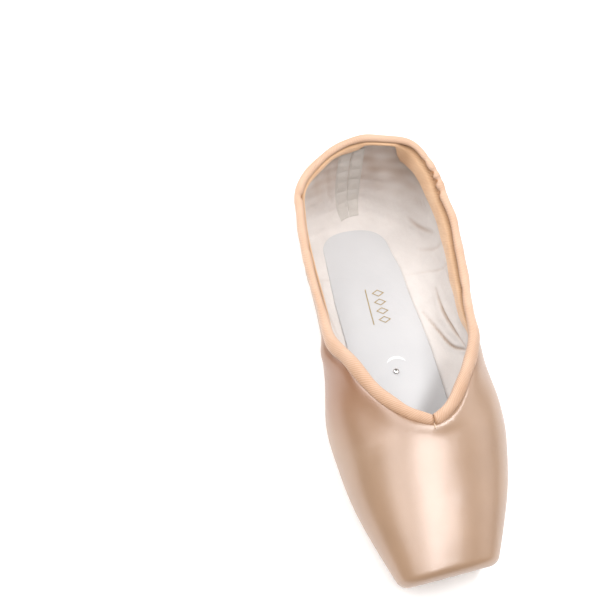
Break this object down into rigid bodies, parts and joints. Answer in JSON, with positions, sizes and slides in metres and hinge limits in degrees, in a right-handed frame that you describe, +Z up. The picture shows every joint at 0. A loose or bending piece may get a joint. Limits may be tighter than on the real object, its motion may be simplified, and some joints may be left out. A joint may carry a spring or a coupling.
{
  "type": "pointe shoe",
  "caption": "Satin pointe shoe with a stiff box and flat platform, open collar with a drawstring casing, white insole and a narrow leather outsole.",
  "frame": {"origin": "middle of the shoe's box, on the floor that the outsole stands on", "axes": "+Y from the platform at the toe to the heel, +Z up, +X across"},
  "size_m": [0.0932, 0.2504, 0.0702],
  "materials": {
    "satin": "glossy satin weave",
    "sole_leather": "matt suede leather",
    "insole_board": "smooth white covered board",
    "binding_twill": "bias binding with a fine slanting rib",
    "cotton_cord": "thin cotton cord",
    "tack_metal": "domed nail head"
  },
  "bodies": {
    "root": {"upper": "satin", "outsole": "sole_leather", "insole": "insole_board", "collar_binding": "binding_twill", "drawstring": "cotton_cord", "insole_tack": "tack_metal"}
  },
  "joints": []
}
